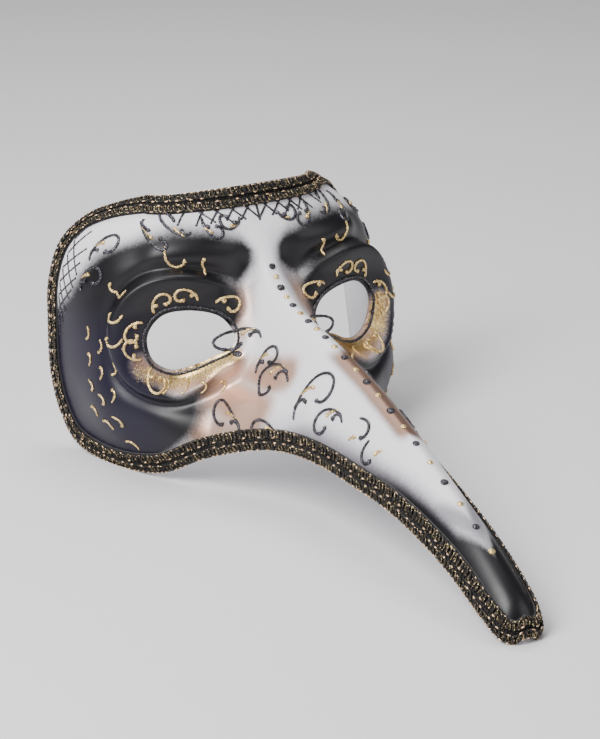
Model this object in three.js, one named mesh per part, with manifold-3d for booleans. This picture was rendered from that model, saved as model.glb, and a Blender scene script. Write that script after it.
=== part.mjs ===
// Long-nosed masquerade half mask, resting on its nose tip and its two lower temple corners.
//
// The face looks along -Y, +X is the wearer's left, +Z is up, and X = 0 is the plane of symmetry.
// The moulded shell is a row of hoops. Each hoop starts on the edge of one side, climbs over the
// ridge and comes down to the edge of the other side, from the nose tip to the forehead edge.
// Everything that is stuck on the shell is placed with the same surface.
import * as THREE from "three";
import { mergeVertices } from "three/addons/utils/BufferGeometryUtils.js";
import Module from "manifold-3d";

const wasm = await Module();
wasm.setup();

// ---------------------------------------------------------------- driving dimensions, mm
const MASK_WIDTH = 150; // across the temples
const MASK_HEIGHT = 121; // floor to forehead edge
const FACE_DEPTH = 70; // temple back edge to the front of the brow
const NOSE_LENGTH = 206; // front of the brow to the nose tip
const NOSE_WIDTH = 29.6; // across the middle of the nose
const WALL = 1.5; // moulded shell
const SEAT_DEPTH = 0.4; // taken off where the edge rests on the table

const EYE_LENGTH = 36; // eye hole
const EYE_HEIGHT = 26;
const EYE_TURN = THREE.MathUtils.degToRad(33); // how far each eye looks sideways
const RING_HEIGHT = 4.8; // moulded goggle ring round the eye
const RING_REACH = 9.9; // eye hole to the ring's crest
const SOCKET_DEPTH = 9;
const BROW_HEIGHT = 3.2;
const CHEEKBONE_HEIGHT = 5;

const GAP = 0.3; // glue line between a part and the one it is stuck to
const BRAID_WIDTH = 9.6;
const BRAID_EDGE = 0.2; // braid to the shell's edge
const BRAID_LIFT = 0.6; // clear of the shell's facets
const BRAID_THICKNESS = 2;
const CORE_WIDTH = 1.2; // cord between the two looped rows
const CORE_THICKNESS = 1.5;

const BEAD_RADIUS = 0.9; // glitter bead round the eye hole
const BEAD_INSET = 1.7; // its centre line to the hole
const DOT_PAIRS = 11; // black and gold dots down the nose
const BLACK_DOT_RADIUS = 1.5;
const GOLD_DOT_RADIUS = 1.2;
const DOT_HEIGHT = 0.7;
const FIRST_DOT_STEP = 5; // from one dot to the next at the brow
const LAST_DOT_STEP = 13.2; // and near the nose tip
const DOT_START = 14.2; // the hoop of the first dot

const PATCH_LENGTH = 24; // felt patch that anchors a tie, inside the temple
const PATCH_HEIGHT = 16;
const PATCH_THICKNESS = 2; // at its middle
const LOOP_WIDTH = 8; // fabric loop on the patch
const LOOP_SPAN = 13;
const LOOP_THICKNESS = 0.8;
const LOOP_OPENING = 2.4;

// ---------------------------------------------------------------- small helpers
const lerp = THREE.MathUtils.lerp;
const clamp = THREE.MathUtils.clamp;
const smooth = (low, high, v) => THREE.MathUtils.smoothstep(v, low, high);
const bell = (v) => Math.exp(-v * v);

// Distance in front of the temples: 0 to 1 covers the face, 1 to 2 the nose.
const forward = (share) =>
  share <= 1 ? share * FACE_DEPTH : FACE_DEPTH + (share - 1) * NOSE_LENGTH;

// A point from shares of the half width, of the way forward and of the height.
const place = (across, ahead, up) =>
  new THREE.Vector3((across * MASK_WIDTH) / 2, -forward(ahead), up * MASK_HEIGHT - SEAT_DEPTH);

// ---------------------------------------------------------------- hoops
// edge and ridge are [forward, up]. The half width is nose times the nose's plus face times the
// mask's. base is the share of the rise that the face takes, and the nose bump, bump nose widths
// wide each way, takes the rest. across and up are the exponents of the hoop's rounding.
const hoop = (edge, ridge, nose, face, base, bump, across, up) => [
  forward(edge[0]),
  edge[1] * MASK_HEIGHT - SEAT_DEPTH,
  forward(ridge[0]),
  ridge[1] * MASK_HEIGHT - SEAT_DEPTH,
  (nose * NOSE_WIDTH + face * MASK_WIDTH) / 2,
  base,
  bump * NOSE_WIDTH,
  across,
  up,
];
const HOOPS = [
  hoop([1.993, 0.0], [2.0, 0.016], 0.28, 0, 1, 0.34, 2, 2), // nose tip
  hoop([1.975, 0.012], [1.988, 0.09], 0.56, 0, 1, 0.34, 2, 2),
  hoop([1.928, 0.054], [1.947, 0.156], 0.7, 0, 1, 0.34, 1.9, 1.8),
  hoop([1.799, 0.148], [1.823, 0.268], 0.81, 0, 1, 0.34, 1.75, 1.5),
  hoop([1.636, 0.213], [1.67, 0.372], 0.95, 0, 1, 0.34, 1.7, 1.4), // middle of the nose
  hoop([1.498, 0.236], [1.541, 0.451], 1.16, 0, 1, 0.47, 1.7, 1.4),
  hoop([1.373, 0.244], [1.421, 0.513], 1.16, 0.044, 0.88, 0.61, 1.8, 1.5),
  hoop([1.27, 0.228], [1.321, 0.554], 1.16, 0.104, 0.66, 0.74, 2, 1.8),
  hoop([1.187, 0.19], [1.234, 0.586], 1.16, 0.197, 0.48, 0.84, 2.1, 2.1), // nostril
  hoop([1.096, 0.12], [1.167, 0.604], 0.58, 0.452, 0.5, 0.84, 2.4, 2.4),
  hoop([1.0, 0.025], [1.115, 0.62], 0.23, 0.661, 0.62, 0.81, 2.7, 2.7), // cheek
  hoop([0.643, 0.0], [1.077, 0.637], 0, 0.847, 0.76, 0.71, 3, 3), // lower temple corner
  hoop([0.329, 0.025], [1.048, 0.658], 0, 0.947, 0.84, 0.61, 3.1, 3.1),
  hoop([0.157, 0.124], [1.026, 0.683], 0, 0.987, 0.88, 0.54, 3.1, 3.1),
  hoop([0.057, 0.265], [1.005, 0.716], 0, 1, 0.9, 0.47, 2.9, 2.9), // back edge
  hoop([0.007, 0.439], [0.964, 0.757], 0, 0.987, 0.93, 0.41, 2.7, 2.7),
  hoop([-0.021, 0.588], [0.907, 0.811], 0, 0.965, 0.97, 0.37, 2.5, 2.5),
  hoop([-0.029, 0.727], [0.843, 0.869], 0, 0.885, 1, 0.37, 2.25, 2.25), // upper corner
  hoop([0.057, 0.825], [0.793, 0.914], 0, 0.757, 1, 0.37, 2, 1.85),
  hoop([0.214, 0.885], [0.757, 0.952], 0, 0.63, 1, 0.37, 2, 1.6),
  hoop([0.414, 0.934], [0.729, 0.99], 0, 0.497, 1, 0.37, 2, 1.35), // forehead edge
];

// The hoop at t, 0 at the nose tip and 1 at the forehead, on a smooth curve through all of them.
function hoopAt(t) {
  const last = HOOPS.length - 1;
  const along = clamp(t, 0, 1) * last;
  const i = Math.min(Math.floor(along), last - 1);
  const k = along - i;
  const b = HOOPS[i];
  const c = HOOPS[i + 1];
  return b.map((value, n) => {
    const before = i > 0 ? HOOPS[i - 1][n] : 2 * value - c[n];
    const after = i + 2 <= last ? HOOPS[i + 2][n] : 2 * c[n] - value;
    const slope = (c[n] - before) / 2;
    const bend = before - 2.5 * value + 2 * c[n] - after / 2;
    const twist = (after - before) / 2 + (3 * (value - c[n])) / 2;
    return value + k * (slope + k * (bend + k * twist));
  });
}

// The plain surface, without relief. q runs from -1 on one edge, over 0 on the ridge, to 1.
function plainPoint(t, q) {
  const [edgeF, edgeZ, ridgeF, ridgeZ, half, base, bump, across, up] = hoopAt(t);
  const turn = (q * Math.PI) / 2;
  const x = half * Math.abs(Math.sin(turn)) ** (2 / across);
  const face = base * Math.max(Math.cos(turn), 0) ** (2 / up);
  const nose = x < bump ? ((1 - base) * (1 + Math.cos((Math.PI * x) / bump))) / 2 : 0;
  return new THREE.Vector3(
    Math.sign(q) * x,
    -(edgeF + (ridgeF - edgeF) * (face + nose)),
    edgeZ + (ridgeZ - edgeZ) * (face + nose),
  );
}

// Outward direction of the plain surface.
function plainNormal(t, q) {
  const step = 1e-4;
  const along = plainPoint(Math.min(t + step, 1), q).sub(plainPoint(Math.max(t - step, 0), q));
  const over = plainPoint(t, Math.min(q + step, 1)).sub(plainPoint(t, Math.max(q - step, -1)));
  return over.cross(along).normalize();
}

// ---------------------------------------------------------------- eye hole
// The hole is drawn looking straight at the eye: first number outwards, second up, in half sizes.
const EYE_CENTRE = place(0.45, 0.87, 0.492);
const EYE_POINTS = [
  [-1, 0.19],
  [-0.61, 0.77],
  [0.06, 1],
  [0.67, 0.85],
  [1, 0.19],
  [0.89, -0.62],
  [0.44, -1],
  [-0.06, -0.85],
  [-0.56, -0.5],
  [-0.94, -0.23],
];
const EYE_CURVE = new THREE.CatmullRomCurve3(
  EYE_POINTS.map(([out, up]) => new THREE.Vector3((out * EYE_LENGTH) / 2, (up * EYE_HEIGHT) / 2, 0)),
  true,
  "catmullrom",
  0.5,
);
const EYE_OUTLINE = EYE_CURVE.getPoints(80).slice(0, 80);
const EYE_OUT = new THREE.Vector3(Math.cos(EYE_TURN), Math.sin(EYE_TURN), 0);

// A point as the eye drawing sees it, on either side of the mask.
function eyeView(point) {
  const from = new THREE.Vector3(Math.abs(point.x), point.y, point.z).sub(EYE_CENTRE);
  return new THREE.Vector2(from.dot(EYE_OUT), from.z);
}

// Distance from the hole's outline, 0 inside the hole.
function eyeDistance(view) {
  let inside = false;
  let nearest = Infinity;
  EYE_OUTLINE.forEach((a, i) => {
    const b = EYE_OUTLINE[(i + 1) % EYE_OUTLINE.length];
    const ax = view.x - a.x;
    const ay = view.y - a.y;
    const bx = b.x - a.x;
    const by = b.y - a.y;
    const share = clamp((ax * bx + ay * by) / (bx * bx + by * by), 0, 1);
    nearest = Math.min(nearest, Math.hypot(ax - share * bx, ay - share * by));
    if (a.y > view.y !== b.y > view.y && ax < (ay * bx) / by) inside = !inside;
  });
  return inside ? 0 : nearest;
}

// ---------------------------------------------------------------- moulded relief
// A rounded swelling along the line from start to end, on both sides.
const swelling = (height, radius, start, end) => ({ height, radius, start, end });
const SWELLINGS = [
  swelling(CHEEKBONE_HEIGHT, 16, place(0.84, 0.714, 0.226), place(0.84, 0.714, 0.227)),
  swelling(BROW_HEIGHT, 8, place(0.267, 0.943, 0.788), place(0.613, 0.786, 0.797)),
  swelling(-1.5, 5, place(0.133, 0.943, 0.73), place(0.16, 0.971, 0.697)), // beside the bridge
  swelling(1.7, 4.5, place(0.347, 1.029, 0.412), place(0.2, 1.182, 0.429)), // lid to nose
  swelling(-1.1, 4.5, place(0.36, 1.048, 0.358), place(0.267, 1.163, 0.367)),
  swelling(2.6, 9, place(0.36, 1.129, 0.3), place(0.293, 1.182, 0.317)), // cheek pad
  swelling(-1.8, 4.5, place(0.36, 1.048, 0.367), place(0.56, 1.105, 0.21)), // fold
];

// The height of the relief over the plain surface.
function relief(point) {
  const view = eyeView(point);
  const distance = eyeDistance(view);
  const angle = Math.atan2(view.y + 2.5, view.x - 3);
  const aside = Math.abs(point.x) / MASK_WIDTH;
  const reach = RING_REACH + 4.4 * Math.cos(angle - 0.66);
  const ring = (RING_HEIGHT + 1.7 * Math.cos(angle - 0.52)) * smooth(0.06, 0.16, aside);
  const inner = smooth(-0.15, 1, distance / reach);
  const outer = 1 - smooth(0, 1, (distance - reach) / 4.5);
  let height = ring * (distance < reach ? inner : outer);
  height -= 0.8 * bell((distance - reach - 5.5) / 2.2) * smooth(0.08, 0.17, aside);
  height -= SOCKET_DEPTH * Math.exp(-((view.x - 3) ** 2) / 400 - (view.y + 11.5) ** 2 / 196)
    * smooth(0.04, 0.147, aside);
  const half = new THREE.Vector3(Math.abs(point.x), point.y, point.z);
  for (const { height: rise, radius, start, end } of SWELLINGS) {
    const nearest = new THREE.Line3(start, end).closestPointToPoint(half, true, new THREE.Vector3());
    height += rise * bell(nearest.distanceTo(half) / radius);
  }
  return height;
}

// ---------------------------------------------------------------- the skin grid
// Evenly spaced points of the outer surface, in rows along the hoops, with their normals.
const ROWS = 157;
const COLUMNS = 73;

// Where the running total reaches each of count even shares, as fractional indices.
function evenShares(totals, count) {
  const end = totals[totals.length - 1];
  let i = 1;
  return Array.from({ length: count }, (_, n) => {
    const wanted = (end * n) / (count - 1);
    while (i < totals.length - 1 && totals[i] < wanted) i++;
    return i - 1 + (wanted - totals[i - 1]) / (totals[i] - totals[i - 1]);
  });
}

function runningTotal(points) {
  let total = 0;
  return points.map((p, i) => (total += i ? p.distanceTo(points[i - 1]) : 0));
}

const FINE = 600;
const fine = Array.from({ length: FINE + 1 }, (_, i) => i / FINE);
const edgeRun = runningTotal(fine.map((t) => plainPoint(t, 1)));
const ridgeRun = runningTotal(fine.map((t) => plainPoint(t, 0)));
const rowPlaces = evenShares(edgeRun.map((run, i) => run + ridgeRun[i]), ROWS).map((i) => i / FINE);

const skinPoints = [];
const skinNormals = [];
for (const t of rowPlaces) {
  const q = Array.from({ length: 241 }, (_, i) => i / 120 - 1);
  const columns = evenShares(runningTotal(q.map((v) => plainPoint(t, v))), COLUMNS);
  skinPoints.push(columns.map((i) => {
    const v = i / 120 - 1;
    const point = plainPoint(t, v);
    return point.addScaledVector(plainNormal(t, v), relief(point));
  }));
}
for (let i = 0; i < ROWS; i++) {
  skinNormals.push(skinPoints[i].map((_, j) => {
    const along = skinPoints[Math.min(i + 1, ROWS - 1)][j].clone();
    along.sub(skinPoints[Math.max(i - 1, 0)][j]);
    const over = skinPoints[i][Math.min(j + 1, COLUMNS - 1)].clone();
    over.sub(skinPoints[i][Math.max(j - 1, 0)]);
    return over.cross(along).normalize();
  }));
}

// Bilinear value of a grid at row r and column c.
function between(grid, r, c) {
  const row = clamp(r, 0, ROWS - 1);
  const column = clamp(c, 0, COLUMNS - 1);
  const i = Math.min(Math.floor(row), ROWS - 2);
  const j = Math.min(Math.floor(column), COLUMNS - 2);
  const low = grid[i][j].clone().lerp(grid[i][j + 1], column - j);
  const high = grid[i + 1][j].clone().lerp(grid[i + 1][j + 1], column - j);
  return low.lerp(high, row - i);
}
const skin = ([r, c], lift = 0) =>
  between(skinPoints, r, c).addScaledVector(between(skinNormals, r, c).normalize(), lift);

// Moves a grid place over the skin by a given step in space.
function walk([r, c], step) {
  const half = 0.5;
  const along = skin([r + half, c]).sub(skin([r - half, c]));
  const over = skin([r, c + half]).sub(skin([r, c - half]));
  along.divideScalar(clamp(r + half, 0, ROWS - 1) - clamp(r - half, 0, ROWS - 1));
  over.divideScalar(clamp(c + half, 0, COLUMNS - 1) - clamp(c - half, 0, COLUMNS - 1));
  const aa = along.dot(along);
  const oo = over.dot(over);
  const ao = along.dot(over);
  const sa = step.dot(along);
  const so = step.dot(over);
  const scale = aa * oo - ao * ao;
  return [r + (sa * oo - so * ao) / scale, c + (so * aa - sa * ao) / scale];
}

// ---------------------------------------------------------------- solids
function geometryOf(positions, index) {
  const geometry = new THREE.BufferGeometry();
  geometry.setAttribute("position", new THREE.Float32BufferAttribute(positions, 3));
  geometry.setIndex(index);
  return geometry;
}

function solidOf(geometry) {
  const bare = geometry.clone();
  for (const name of Object.keys(bare.attributes)) {
    if (name !== "position") bare.deleteAttribute(name);
  }
  const merged = mergeVertices(bare, 1e-4);
  return new wasm.Manifold(new wasm.Mesh({
    numProp: 3,
    vertProperties: merged.attributes.position.array,
    triVerts: new Uint32Array(merged.index.array),
  }));
}

function geometryFrom(solid) {
  const mesh = solid.getMesh();
  return geometryOf(Array.from(mesh.vertProperties), Array.from(mesh.triVerts));
}

// The other side's copy of a geometry, with its faces turned to keep facing out.
function mirrored(geometry) {
  const copy = geometry.index ? geometry.toNonIndexed() : geometry.clone();
  copy.scale(-1, 1, 1);
  const index = [];
  for (let i = 0; i < copy.attributes.position.count; i += 3) index.push(i, i + 2, i + 1);
  copy.setIndex(index);
  return copy;
}

// A closed band: one ring of the same number of points after another, back to the first.
function closedBand(rings) {
  const count = rings.length;
  const size = rings[0].length;
  const index = [];
  for (let i = 0; i < count; i++) {
    for (let j = 0; j < size; j++) {
      const a = i * size + j;
      const b = i * size + ((j + 1) % size);
      const c = ((i + 1) % count) * size + j;
      const d = ((i + 1) % count) * size + ((j + 1) % size);
      index.push(a, b, c, b, d, c);
    }
  }
  return geometryOf(rings.flat().flatMap((p) => [p.x, p.y, p.z]), index);
}

const TABLE = new THREE.BoxGeometry(4 * MASK_WIDTH, 4 * NOSE_LENGTH, MASK_HEIGHT);
TABLE.translate(0, -NOSE_LENGTH / 2, -MASK_HEIGHT / 2);
const tableSolid = solidOf(TABLE);

// ---------------------------------------------------------------- shell
const ROW_STEP = 4;
const COLUMN_STEP = 2;

// The shell between two heights over the skin, in facets a few millimetres wide.
function shellBetween(high, low) {
  const rows = [];
  for (let i = 0; i < ROWS; i += ROW_STEP) rows.push(i);
  const columns = [];
  for (let j = 0; j < COLUMNS; j += COLUMN_STEP) columns.push(j);
  const wide = columns.length;
  const layer = rows.length * wide;
  const points = [high, low].flatMap((lift) => rows.flatMap((i) => columns.map((j) => skin([i, j], lift))));
  const index = [];
  const quad = (a, b, c, d) => index.push(a, b, c, a, c, d);
  for (let i = 0; i + 1 < rows.length; i++) {
    for (let j = 0; j + 1 < wide; j++) {
      const a = i * wide + j;
      quad(a, a + 1, a + wide + 1, a + wide);
      quad(layer + a, layer + a + wide, layer + a + wide + 1, layer + a + 1);
    }
  }
  const rim = [];
  for (let j = 0; j < wide; j++) rim.push(j);
  for (let i = 1; i < rows.length; i++) rim.push(i * wide + wide - 1);
  for (let j = wide - 2; j >= 0; j--) rim.push(layer - wide + j);
  for (let i = rows.length - 2; i > 0; i--) rim.push(i * wide);
  rim.forEach((a, n) => {
    const b = rim[(n + 1) % rim.length];
    quad(a, layer + a, layer + b, b);
  });
  return geometryOf(points.flatMap((p) => [p.x, p.y, p.z]), index);
}

function eyeCutter() {
  const depth = FACE_DEPTH / 2;
  const shape = new THREE.Shape(EYE_OUTLINE.filter((_, i) => i % 2 === 0).map((p) => new THREE.Vector2(p.x, p.y)));
  const cutter = new THREE.ExtrudeGeometry(shape, { depth: 2 * depth, bevelEnabled: false });
  cutter.translate(0, 0, -depth);
  const upward = new THREE.Vector3(0, 0, 1);
  const outward = EYE_OUT.clone().cross(upward);
  cutter.applyMatrix4(new THREE.Matrix4().makeBasis(EYE_OUT, upward, outward));
  return cutter.translate(EYE_CENTRE.x, EYE_CENTRE.y, EYE_CENTRE.z);
}

function cutShell() {
  const cutter = eyeCutter();
  const whole = solidOf(shellBetween(0, -WALL));
  const open = whole.subtract(solidOf(cutter)).subtract(solidOf(mirrored(cutter)));
  return geometryFrom(open.subtract(tableSolid));
}

// What is stuck on the shell starts a glue line off its facets, and stays above the table.
const plainShell = solidOf(shellBetween(0, -WALL));
const outsideGlue = solidOf(shellBetween(GAP, -WALL)).add(plainShell).add(tableSolid);
const insideGlue = solidOf(shellBetween(0, -WALL - GAP)).add(plainShell);
const largest = (solid) => solid.decompose().sort((a, b) => b.volume() - a.volume())[0];
const onShell = (geometry) => geometryFrom(largest(solidOf(geometry).subtract(outsideGlue)));
const inShell = (geometry) => geometryFrom(largest(solidOf(geometry).subtract(insideGlue)));

// ---------------------------------------------------------------- braid
// Grid places along the edge, from the middle of the forehead down one side, round the nose tip
// and back up the other.
function edgePlaces(spacing) {
  const lastRow = ROWS - 1;
  const lastColumn = COLUMNS - 1;
  const top = [lastRow, lastColumn / 2];
  const corners = [top, [lastRow, 0], [0, 0], [0, lastColumn], [lastRow, lastColumn], top];
  const line = [];
  corners.slice(1).forEach(([r, c], n) => {
    const [r0, c0] = corners[n];
    const count = Math.max(Math.abs(r - r0), Math.abs(c - c0));
    for (let i = 0; i < count; i++) line.push([lerp(r0, r, i / count), lerp(c0, c, i / count)]);
  });
  line.push(top);
  const run = runningTotal(line.map((p) => skin(p)));
  const count = Math.round(run[run.length - 1] / spacing);
  return evenShares(run, count + 1).slice(0, count).map((at) => {
    const i = Math.min(Math.floor(at), line.length - 2);
    return [lerp(line[i][0], line[i + 1][0], at - i), lerp(line[i][1], line[i + 1][1], at - i)];
  });
}

const BRAID_STEP = 9;
const braidEdge = edgePlaces(BRAID_STEP);
const braidInward = braidEdge.map((p, i) => {
  const next = skin(braidEdge[(i + 1) % braidEdge.length]);
  const tangent = next.sub(skin(braidEdge[(i + braidEdge.length - 1) % braidEdge.length]));
  return tangent.cross(between(skinNormals, ...p)).normalize().negate();
});

// The places at a distance in from the edge, walked over the skin.
function insetPlaces(distance) {
  const steps = Math.max(1, Math.ceil(distance));
  return braidEdge.map((start, i) => {
    let at = start;
    for (let n = 0; n < steps; n++) {
      const normal = between(skinNormals, ...at).normalize();
      const inward = braidInward[i].clone().projectOnPlane(normal).normalize();
      at = walk(at, inward.multiplyScalar(distance / steps));
    }
    return at;
  });
}

// A flat strip that follows the edge, between two distances in from it and two heights.
function strip(from, to, low, high, parts) {
  const lines = Array.from({ length: parts + 1 }, (_, n) => insetPlaces(lerp(from, to, n / parts)));
  return closedBand(braidEdge.map((_, i) => [
    ...lines.map((line) => skin(line[i], low)),
    ...lines.toReversed().map((line) => skin(line[i], high)),
  ]));
}

const ROW_WIDTH = (BRAID_WIDTH - CORE_WIDTH) / 2 - GAP;
const CORE_START = BRAID_EDGE + ROW_WIDTH + GAP;

// ---------------------------------------------------------------- eye beads and nose dots
// The grid place whose point looks like the given one to the eye, on the +X side.
function placeSeen(view) {
  let best = [0, 0];
  let nearest = Infinity;
  for (let i = 0; i < ROWS; i += 2) {
    for (let j = (COLUMNS - 1) / 2; j < COLUMNS; j += 2) {
      const gap = eyeView(skinPoints[i][j]).distanceTo(view);
      if (skinPoints[i][j].y < EYE_CENTRE.y + FACE_DEPTH / 4 && gap < nearest) {
        nearest = gap;
        best = [i, j];
      }
    }
  }
  for (let n = 0; n < 12; n++) {
    const off = view.clone().sub(eyeView(skin(best)));
    best = walk(best, EYE_OUT.clone().multiplyScalar(off.x).add(new THREE.Vector3(0, 0, off.y)));
  }
  return best;
}

function beadGeometry() {
  const sides = 6;
  const stations = 30;
  const centre = Array.from({ length: stations }, (_, i) => {
    const at = EYE_CURVE.getPointAt(i / stations);
    const tangent = EYE_CURVE.getTangentAt(i / stations);
    const view = new THREE.Vector2(at.x, at.y);
    view.add(new THREE.Vector2(tangent.y, -tangent.x).multiplyScalar(-BEAD_INSET));
    return placeSeen(view);
  });
  const line = centre.map((p) => skin(p, BEAD_RADIUS));
  return closedBand(line.map((p, i) => {
    const tangent = line[(i + 1) % stations].clone().sub(line[(i + stations - 1) % stations]);
    const out = between(skinNormals, ...centre[i]).projectOnPlane(tangent.normalize()).normalize();
    const side = tangent.cross(out);
    return Array.from({ length: sides }, (_, n) => {
      const turn = (2 * Math.PI * n) / sides;
      const spoke = out.clone().multiplyScalar(Math.cos(turn)).addScaledVector(side, Math.sin(turn));
      return p.clone().addScaledVector(spoke, BEAD_RADIUS);
    });
  }));
}

// A low dome that stands on the skin.
function domeGeometry(radius) {
  const profile = [
    new THREE.Vector2(0, 0),
    new THREE.Vector2(radius, 0),
    new THREE.Vector2(0.8 * radius, 0.6 * DOT_HEIGHT),
    new THREE.Vector2(0, DOT_HEIGHT),
  ];
  return new THREE.LatheGeometry(profile, 8).rotateX(Math.PI / 2);
}

// Grid rows of the dots, one step after another down the ridge from just under the brow.
function dotRows() {
  const middle = (COLUMNS - 1) / 2;
  const run = runningTotal(skinPoints.map((row) => row[middle]));
  const brow = rowPlaces.findIndex((t) => t > DOT_START / (HOOPS.length - 1));
  let left = run[brow];
  return Array.from({ length: 2 * DOT_PAIRS }, (_, n) => {
    if (n) left -= lerp(FIRST_DOT_STEP, LAST_DOT_STEP, (n - 1) / (2 * DOT_PAIRS - 2));
    const above = run.findIndex((total) => total > left);
    return above - (run[above] - left) / (run[above] - run[above - 1]);
  });
}

// ---------------------------------------------------------------- tie patch and loop
// Both are drawn flat: X along the temple, Y up and Z away from the shell's inner face.
function patchGeometry() {
  const corner = PATCH_HEIGHT / 4;
  const x = PATCH_LENGTH / 2;
  const y = PATCH_HEIGHT / 2;
  const shape = new THREE.Shape();
  shape.absarc(x - corner, y - corner, corner, 0, Math.PI / 2, false);
  shape.absarc(corner - x, y - corner, corner, Math.PI / 2, Math.PI, false);
  shape.absarc(corner - x, corner - y, corner, Math.PI, 1.5 * Math.PI, false);
  shape.absarc(x - corner, corner - y, corner, 1.5 * Math.PI, 2 * Math.PI, false);
  return new THREE.ExtrudeGeometry(shape, { depth: PATCH_THICKNESS, bevelEnabled: false, curveSegments: 4 });
}

function loopGeometry() {
  const half = LOOP_SPAN / 2;
  const foot = half / 2;
  const inner = half - foot;
  const shape = new THREE.Shape();
  shape.moveTo(-half, 0);
  shape.lineTo(-inner, 0);
  shape.bezierCurveTo(-inner, LOOP_OPENING * 1.3, inner, LOOP_OPENING * 1.3, inner, 0);
  shape.lineTo(half, 0);
  shape.lineTo(half, LOOP_THICKNESS);
  shape.lineTo(inner + LOOP_THICKNESS, LOOP_THICKNESS);
  const rise = LOOP_OPENING * 1.3 + LOOP_THICKNESS * 1.4;
  const lean = inner + LOOP_THICKNESS;
  shape.bezierCurveTo(lean, rise, -lean, rise, -lean, LOOP_THICKNESS);
  shape.lineTo(-half, LOOP_THICKNESS);
  const strap = new THREE.ExtrudeGeometry(shape, { depth: LOOP_WIDTH, bevelEnabled: false, curveSegments: 8 });
  return strap.translate(0, 0, -LOOP_WIDTH / 2).rotateX(Math.PI / 2);
}

// Sets a flat drawing on the inner face of the +X temple, lifted off it.
function insideTemple(geometry, lift) {
  const row = rowPlaces.findIndex((t) => t > 15.2 / (HOOPS.length - 1));
  const column = COLUMNS - 1 - Math.round((COLUMNS - 1) * 0.09);
  const inward = between(skinNormals, row, column).normalize().negate();
  const upward = new THREE.Vector3(0, 0, 1).projectOnPlane(inward).normalize();
  const along = upward.clone().cross(inward);
  const at = skin([row, column], -WALL).addScaledVector(inward, lift);
  geometry.applyMatrix4(new THREE.Matrix4().makeBasis(along, upward, inward).setPosition(at));
  return geometry;
}

// ---------------------------------------------------------------- the assembly
const finish = (color, roughness, metalness) =>
  new THREE.MeshStandardMaterial({ color, roughness, metalness });
const PAINTED = finish(0xd9d4d6, 0.4, 0);
const BLACK_GIMP = finish(0x15120f, 0.6, 0.2);
const GOLD_GIMP = finish(0xa88646, 0.35, 0.8);
const BLACK_GLITTER = finish(0x0b0a0c, 0.35, 0.2);
const GOLD_GLITTER = finish(0xc9a24a, 0.3, 0.8);
const FELT = finish(0x1c1a1c, 0.95, 0);
const RIBBON = finish(0x101010, 0.6, 0);

const mask = new THREE.Group();
function add(name, geometry, material) {
  const mesh = new THREE.Mesh(geometry, material);
  mesh.name = name;
  mask.add(mesh);
  return mesh;
}
function addBothSides(name, geometry, material, fitted = (drawn) => drawn) {
  add("left_" + name, fitted(geometry), material);
  add("right_" + name, fitted(mirrored(geometry)), material);
}

add("mask_shell", cutShell(), PAINTED);

const braidStrip = (start, width, thickness) => onShell(strip(start, start + width, BRAID_LIFT, thickness, 1));
add("braid_outer_row", braidStrip(BRAID_EDGE, ROW_WIDTH, BRAID_THICKNESS), BLACK_GIMP);
add("braid_core", braidStrip(CORE_START, CORE_WIDTH, CORE_THICKNESS), BLACK_GIMP);
add("braid_inner_row", braidStrip(CORE_START + CORE_WIDTH + GAP, ROW_WIDTH, BRAID_THICKNESS), GOLD_GIMP);

addBothSides("eye_bead", beadGeometry(), BLACK_GLITTER, onShell);

dotRows().forEach((row, n) => {
  const black = n % 2 === 0;
  const number = String(Math.floor(n / 2) + 1).padStart(2, "0");
  const dome = domeGeometry(black ? BLACK_DOT_RADIUS : GOLD_DOT_RADIUS);
  const name = (black ? "black_dot_" : "gold_dot_") + number;
  const dot = add(name, dome, black ? BLACK_GLITTER : GOLD_GLITTER);
  const place = [row, (COLUMNS - 1) / 2];
  dot.position.copy(skin(place, GAP));
  const normal = between(skinNormals, ...place).normalize();
  dot.quaternion.setFromUnitVectors(new THREE.Vector3(0, 0, 1), normal);
});

addBothSides("tie_patch", insideTemple(patchGeometry(), 0), FELT, inShell);
addBothSides("tie_loop", insideTemple(loopGeometry(), PATCH_THICKNESS + GAP), RIBBON);

// The origin is under the middle of the mask's box, on the table.
const box = new THREE.Box3().setFromObject(mask, true);
mask.position.y = -(box.min.y + box.max.y) / 2;
mask.position.z = -box.min.z;

export default mask;
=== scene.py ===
"""Looks of a painted long-nosed masquerade mask: smooth painted shell with some painted shade and highlight,
gimp braid, glitter glue.

The surface is the CAD part's own: hoops from the nose tip to the forehead edge, with moulded
relief. Lengths are in millimetres until a mesh is made. x is the wearer's left, f is the distance
in front of the temples and z is up.
"""

import math

import bpy
import numpy as np
from mathutils import Matrix, Vector


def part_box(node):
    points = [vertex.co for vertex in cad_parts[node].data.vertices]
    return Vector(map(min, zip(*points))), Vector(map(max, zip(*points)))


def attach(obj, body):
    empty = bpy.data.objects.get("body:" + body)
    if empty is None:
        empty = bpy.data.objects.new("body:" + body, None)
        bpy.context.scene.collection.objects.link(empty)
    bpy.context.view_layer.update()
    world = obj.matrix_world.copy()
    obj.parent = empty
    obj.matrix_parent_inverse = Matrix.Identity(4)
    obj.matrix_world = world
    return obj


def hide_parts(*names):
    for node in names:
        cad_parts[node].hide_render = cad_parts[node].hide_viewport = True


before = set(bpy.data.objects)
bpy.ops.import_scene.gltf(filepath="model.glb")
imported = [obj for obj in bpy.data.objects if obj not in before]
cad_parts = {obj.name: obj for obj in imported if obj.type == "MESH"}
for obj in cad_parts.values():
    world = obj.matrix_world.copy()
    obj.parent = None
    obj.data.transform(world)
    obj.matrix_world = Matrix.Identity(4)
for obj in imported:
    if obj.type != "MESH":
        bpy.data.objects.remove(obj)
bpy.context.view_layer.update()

# ---------------------------------------------------------------- dimensions, mm
MASK_WIDTH = 150.0
MASK_HEIGHT = 121.0
FACE_DEPTH = 70.0
NOSE_LENGTH = 206.0
NOSE_WIDTH = 29.6
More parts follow.
